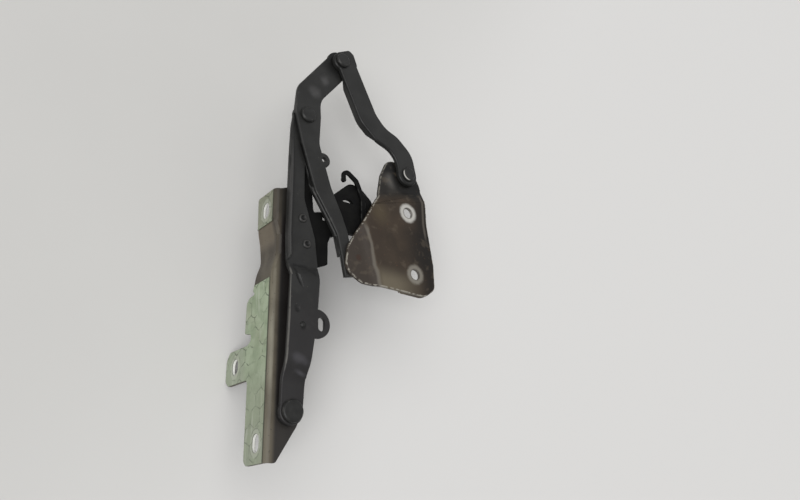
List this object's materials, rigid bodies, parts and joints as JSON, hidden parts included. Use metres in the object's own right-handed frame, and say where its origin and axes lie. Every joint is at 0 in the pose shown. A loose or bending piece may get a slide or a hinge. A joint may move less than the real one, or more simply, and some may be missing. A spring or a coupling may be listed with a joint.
{
  "type": "bonnet hinge",
  "caption": "Folded multi-link bonnet hinge: flanged body bracket, long opening arm, lift lever, curved link and dished bonnet bracket on riveted pivots.",
  "frame": {"origin": "midway between the two slots of the body flange, on its contact face", "axes": "+X from the body flange towards the bonnet, +Y along the opening arm, +Z along the pivot axes"},
  "size_m": [0.1745, 0.4262, 0.1044],
  "materials": {
    "bracket_steel": "thin satin paint over sheet steel",
    "sealing_pad": "dried sealing coat with fine cracks",
    "arm_steel": "satin black paint",
    "rivet_steel": "satin black paint",
    "spacer_steel": "dull dark steel",
    "bush_bronze": "plain bearing bronze",
    "stop_steel": "dull black coat",
    "guide_plastic": "moulded black plastic",
    "bonnet_steel": "thin worn paint over sheet steel"
  },
  "bodies": {
    "body": {"body_bracket": "bracket_steel", "long_sealing_pad": "sealing_pad", "short_sealing_pad": "sealing_pad", "arm_pivot_rivet": "rivet_steel", "arm_pivot_spacer": "spacer_steel"},
    "arm": {"main_arm": "arm_steel", "arm_pivot_bush": "bush_bronze", "stop_plate": "stop_steel", "stop_rivets": "rivet_steel", "locating_stud": "rivet_steel", "lever_pivot_rivet": "rivet_steel", "lever_pivot_washer": "spacer_steel"},
    "lever": {"lift_lever": "arm_steel", "lever_pivot_bush": "bush_bronze", "cable_guide": "guide_plastic", "cable_hook": "guide_plastic", "link_pivot_rivet": "rivet_steel", "link_pivot_washer": "spacer_steel"},
    "link": {"lift_link": "arm_steel", "link_pivot_bush": "bush_bronze", "bracket_pivot_bush": "bush_bronze"},
    "bonnet": {"bonnet_bracket": "bonnet_steel", "bracket_pivot_rivet": "rivet_steel", "bracket_pivot_washer": "spacer_steel"}
  },
  "joints": [
    {"name": "arm_opening", "type": "hinge", "parent": "body", "child": "arm", "pos_m": [0.0196, -0.0831, 0.0218], "axis": [0, 0, -1], "range_deg": [0, 60]},
    {"name": "lever_lift", "type": "hinge", "parent": "arm", "child": "lever", "pos_m": [0.0251, 0.2069, 0.0263], "axis": [0, 0, 1], "range_deg": [0, 18]},
    {"name": "link_swing", "type": "hinge", "parent": "lever", "child": "link", "pos_m": [0.0621, 0.2834, 0.0316], "axis": [0, 0, 1], "range_deg": [0, 25]},
    {"name": "bracket_level", "type": "hinge", "parent": "link", "child": "bonnet", "pos_m": [0.1456, 0.1749, 0.0273], "axis": [0, 0, 1], "range_deg": [-25, 0]}
  ],
  "couplings": [
    {"joint": "bracket_level", "follows": "link_swing", "ratio": -1}
  ]
}
